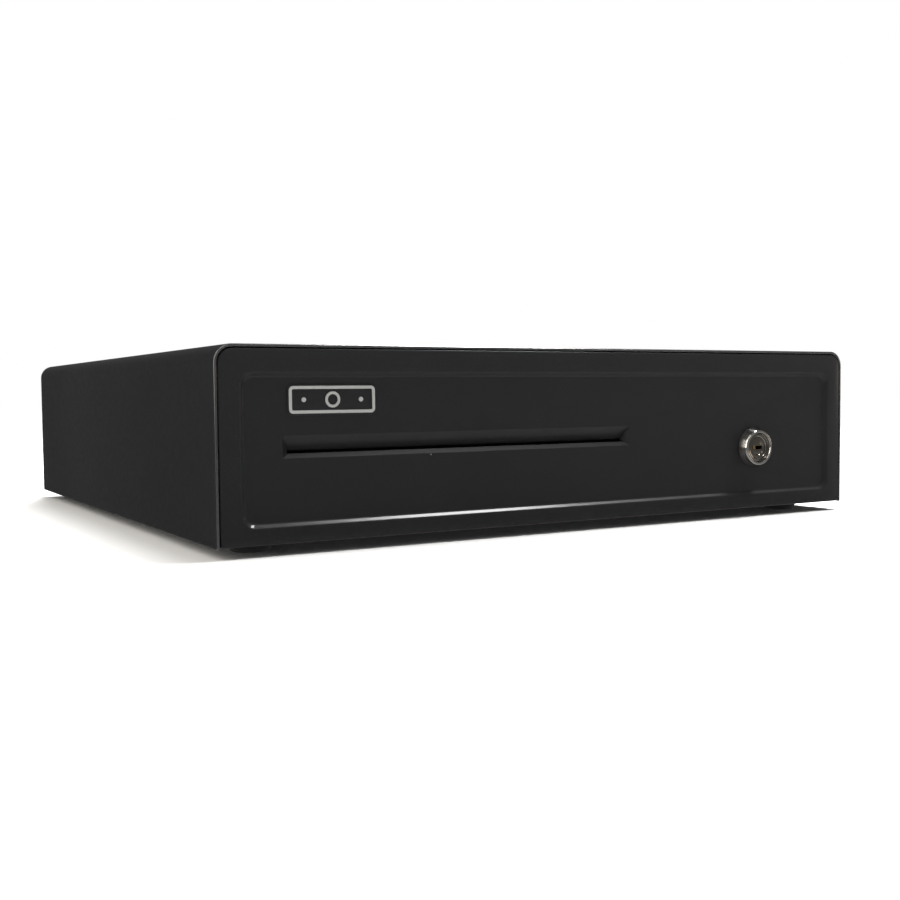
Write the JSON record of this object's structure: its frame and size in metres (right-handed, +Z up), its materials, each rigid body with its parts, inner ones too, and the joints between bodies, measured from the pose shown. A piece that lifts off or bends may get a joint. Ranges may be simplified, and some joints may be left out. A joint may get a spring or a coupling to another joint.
{
  "type": "cash drawer",
  "caption": "Low steel cash drawer for a point of sale: framed front with note slot and key lock, telescopic slides, latch, and a till with note and coin bays.",
  "frame": {"origin": "bottom centre of the whole object's box, at the level of the feet's soles", "axes": "+Z up, the front faces -Y, +X to the right as seen from the front"},
  "size_m": [0.41, 0.4188, 0.1],
  "materials": {
    "black_powder_coat": "fine-textured satin black powder coat",
    "zinc_plated_steel": "bright zinc plate",
    "cage_steel": "pressed steel strip",
    "bright_steel": "nickel-plated steel",
    "chrome": "polished chrome plate",
    "satin_silver": "satin silver",
    "black_rubber": "matt",
    "black_moulded_plastic": "fine spark texture",
    "coil_winding": "enamelled wire",
    "circuit_board": "solder mask",
    "red_button": "smooth",
    "wire_sleeve": "soft PVC sleeve"
  },
  "bodies": {
    "case": {"case_cover": "black_powder_coat", "base_plate": "black_powder_coat", "back_panel": "black_powder_coat", "back_screw_left_low": "bright_steel", "back_screw_left_high": "bright_steel", "back_screw_right_low": "bright_steel", "back_screw_right_high": "bright_steel", "foot_front_left": "black_rubber", "foot_front_right": "black_rubber", "foot_rear_left": "black_rubber", "foot_rear_right": "black_rubber", "slide_case_left": "zinc_plated_steel", "slide_case_right": "zinc_plated_steel", "latch_bracket": "zinc_plated_steel", "latch_pivot_pin": "bright_steel", "solenoid_frame": "zinc_plated_steel", "solenoid_coil": "coil_winding", "plunger_spring": "bright_steel", "switch_body": "black_moulded_plastic", "kick_spring": "bright_steel", "spring_peg": "black_moulded_plastic", "socket": "black_moulded_plastic", "socket_board": "circuit_board", "wiring": "wire_sleeve", "lock_keeper": "zinc_plated_steel"},
    "drawer": {"drawer_tray": "black_powder_coat", "front_panel": "black_powder_coat", "badge": "satin_silver", "lock_barrel": "chrome", "lock_nut": "bright_steel", "striker": "zinc_plated_steel", "till": "black_moulded_plastic", "coin_tray": "black_moulded_plastic", "clip_rod": "bright_steel", "slide_drawer_left": "zinc_plated_steel", "slide_drawer_right": "zinc_plated_steel", "till_stop_left": "zinc_plated_steel", "till_stop_right": "zinc_plated_steel", "bar_stud": "bright_steel"},
    "slide_middle_left": {"slide_middle_left": "zinc_plated_steel"},
    "slide_middle_right": {"slide_middle_right": "zinc_plated_steel"},
    "cage_outer_left": {"slide_cage_outer_left": "cage_steel"},
    "cage_outer_right": {"slide_cage_outer_right": "cage_steel"},
    "cage_inner_left": {"slide_cage_inner_left": "cage_steel"},
    "cage_inner_right": {"slide_cage_inner_right": "cage_steel"},
    "lock": {"lock_plug": "chrome", "lock_cam": "zinc_plated_steel"},
    "release_bar": {"release_bar": "zinc_plated_steel"},
    "latch": {"latch_lever": "zinc_plated_steel"},
    "plunger": {"plunger": "bright_steel"},
    "switch_button": {"switch_button": "red_button"},
    "clip_1": {"note_clip_1": "black_moulded_plastic"},
    "clip_2": {"note_clip_2": "black_moulded_plastic"},
    "clip_3": {"note_clip_3": "black_moulded_plastic"},
    "clip_4": {"note_clip_4": "black_moulded_plastic"},
    "clip_5": {"note_clip_5": "black_moulded_plastic"}
  },
  "joints": [
    {"name": "drawer_slide", "type": "slide", "parent": "case", "child": "drawer", "axis": [0, -1, 0], "range_m": [0, 0.315], "deforming": ["kick_spring"]},
    {"name": "slide_middle_left_travel", "type": "slide", "parent": "case", "child": "slide_middle_left", "axis": [0, -1, 0], "range_m": [0, 0.1575]},
    {"name": "cage_outer_left_travel", "type": "slide", "parent": "case", "child": "cage_outer_left", "axis": [0, -1, 0], "range_m": [0, 0.07875]},
    {"name": "cage_inner_left_travel", "type": "slide", "parent": "case", "child": "cage_inner_left", "axis": [0, -1, 0], "range_m": [0, 0.23625]},
    {"name": "slide_middle_right_travel", "type": "slide", "parent": "case", "child": "slide_middle_right", "axis": [0, -1, 0], "range_m": [0, 0.1575]},
    {"name": "cage_outer_right_travel", "type": "slide", "parent": "case", "child": "cage_outer_right", "axis": [0, -1, 0], "range_m": [0, 0.07875]},
    {"name": "cage_inner_right_travel", "type": "slide", "parent": "case", "child": "cage_inner_right", "axis": [0, -1, 0], "range_m": [0, 0.23625]},
    {"name": "lock_turn", "type": "hinge", "parent": "drawer", "child": "lock", "pos_m": [0.1308, -0.2056, 0.0418], "axis": [0, -1, 0], "range_deg": [-45, 90]},
    {"name": "bar_swing", "type": "hinge", "parent": "drawer", "child": "release_bar", "pos_m": [0.154, -0.0156, 0.0082], "axis": [0, 0, 1], "range_deg": [-1.8, 3.6]},
    {"name": "latch_pivot", "type": "hinge", "parent": "case", "child": "latch", "pos_m": [0.17, 0.1844, 0.02125], "axis": [0, 0, -1], "range_deg": [0, 15], "deforming": ["plunger_spring"]},
    {"name": "plunger_travel", "type": "slide", "parent": "case", "child": "plunger", "axis": [1, 0, 0], "range_m": [0, 0.0028]},
    {"name": "switch_button_travel", "type": "slide", "parent": "case", "child": "switch_button", "axis": [1, 0, 0], "range_m": [0, 0.0016]},
    {"name": "clip_1_lift", "type": "hinge", "parent": "drawer", "child": "clip_1", "pos_m": [-0.14928, 0.1279, 0.0792], "axis": [-1, 0, 0], "range_deg": [0, 40], "stiffness_Nm_per_rad": 0.02, "springref_deg": -28.65},
    {"name": "clip_2_lift", "type": "hinge", "parent": "drawer", "child": "clip_2", "pos_m": [-0.07464, 0.1279, 0.0792], "axis": [-1, 0, 0], "range_deg": [0, 40], "stiffness_Nm_per_rad": 0.02, "springref_deg": -28.65},
    {"name": "clip_3_lift", "type": "hinge", "parent": "drawer", "child": "clip_3", "pos_m": [0, 0.1279, 0.0792], "axis": [-1, 0, 0], "range_deg": [0, 40], "stiffness_Nm_per_rad": 0.02, "springref_deg": -28.65},
    {"name": "clip_4_lift", "type": "hinge", "parent": "drawer", "child": "clip_4", "pos_m": [0.07464, 0.1279, 0.0792], "axis": [-1, 0, 0], "range_deg": [0, 40], "stiffness_Nm_per_rad": 0.02, "springref_deg": -28.65},
    {"name": "clip_5_lift", "type": "hinge", "parent": "drawer", "child": "clip_5", "pos_m": [0.14928, 0.1279, 0.0792], "axis": [-1, 0, 0], "range_deg": [0, 40], "stiffness_Nm_per_rad": 0.02, "springref_deg": -28.65}
  ],
  "couplings": [
    {"joint": "slide_middle_left_travel", "follows": "drawer_slide", "ratio": 0.5},
    {"joint": "cage_outer_left_travel", "follows": "drawer_slide", "ratio": 0.25},
    {"joint": "cage_inner_left_travel", "follows": "drawer_slide", "ratio": 0.75},
    {"joint": "slide_middle_right_travel", "follows": "drawer_slide", "ratio": 0.5},
    {"joint": "cage_outer_right_travel", "follows": "drawer_slide", "ratio": 0.25},
    {"joint": "cage_inner_right_travel", "follows": "drawer_slide", "ratio": 0.75},
    {"joint": "bar_swing", "follows": "lock_turn", "ratio": 0.039},
    {"joint": "plunger_travel", "follows": "latch_pivot", "m_per_rad": 0.01},
    {"joint": "switch_button_travel", "follows": "latch_pivot", "m_per_rad": 0.0057}
  ]
}
